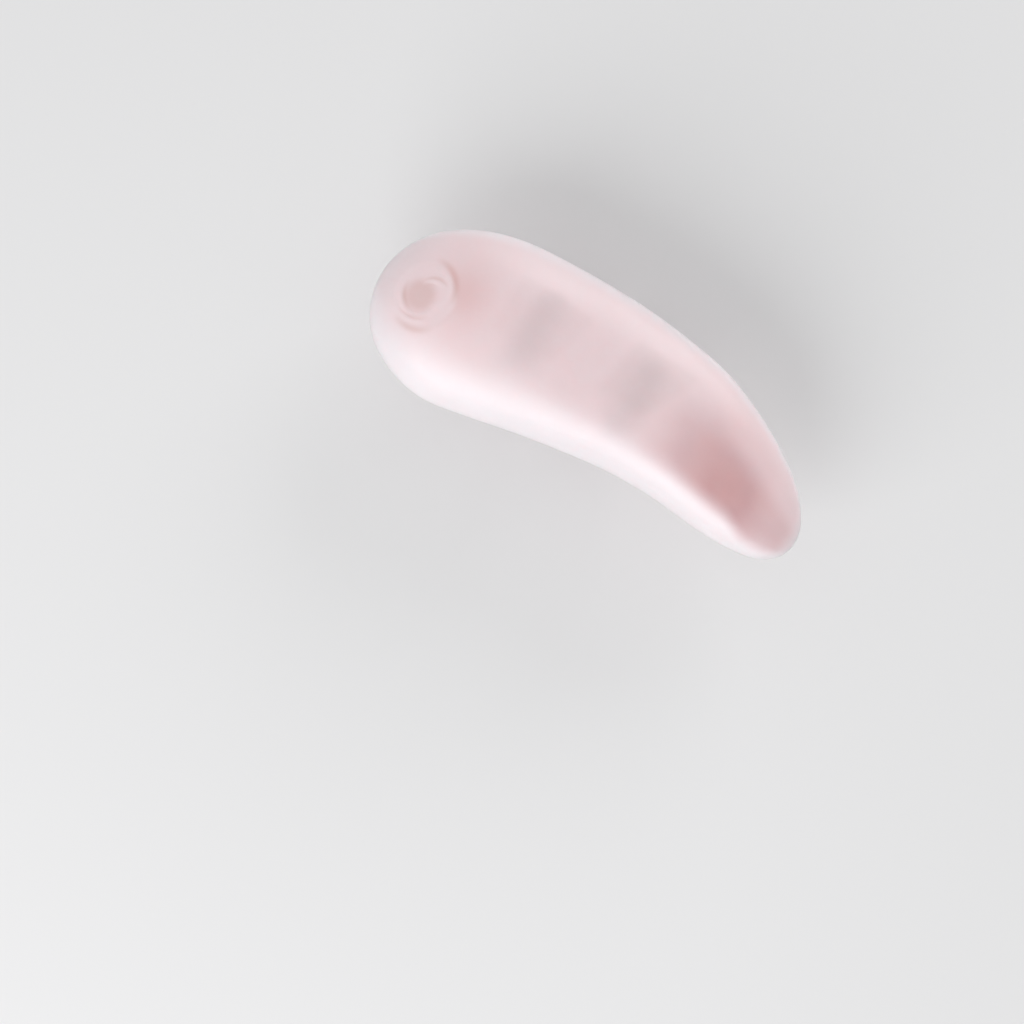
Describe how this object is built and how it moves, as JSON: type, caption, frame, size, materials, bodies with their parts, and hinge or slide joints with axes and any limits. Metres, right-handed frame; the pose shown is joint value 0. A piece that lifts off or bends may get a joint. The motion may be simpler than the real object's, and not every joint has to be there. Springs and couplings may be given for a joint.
{
  "type": "hammer toe cushion",
  "caption": "Crescent of soft frosted gel that lies across the crease under the toes, domed outside and flat behind, with a toe loop cast on its back.",
  "frame": {"origin": "under the middle of the cushion's box, on the surface that the toe loop's crown stands on", "axes": "+X from the wide end to the narrow end, +Y towards the toe tips, +Z out of the domed face, away from the foot"},
  "size_m": [0.074, 0.0298, 0.0249],
  "materials": {
    "frosted_gel": "frosted, see-through soft gel with a satin sheen"
  },
  "bodies": {
    "root": {"toe_cushion": "frosted_gel"}
  },
  "joints": []
}
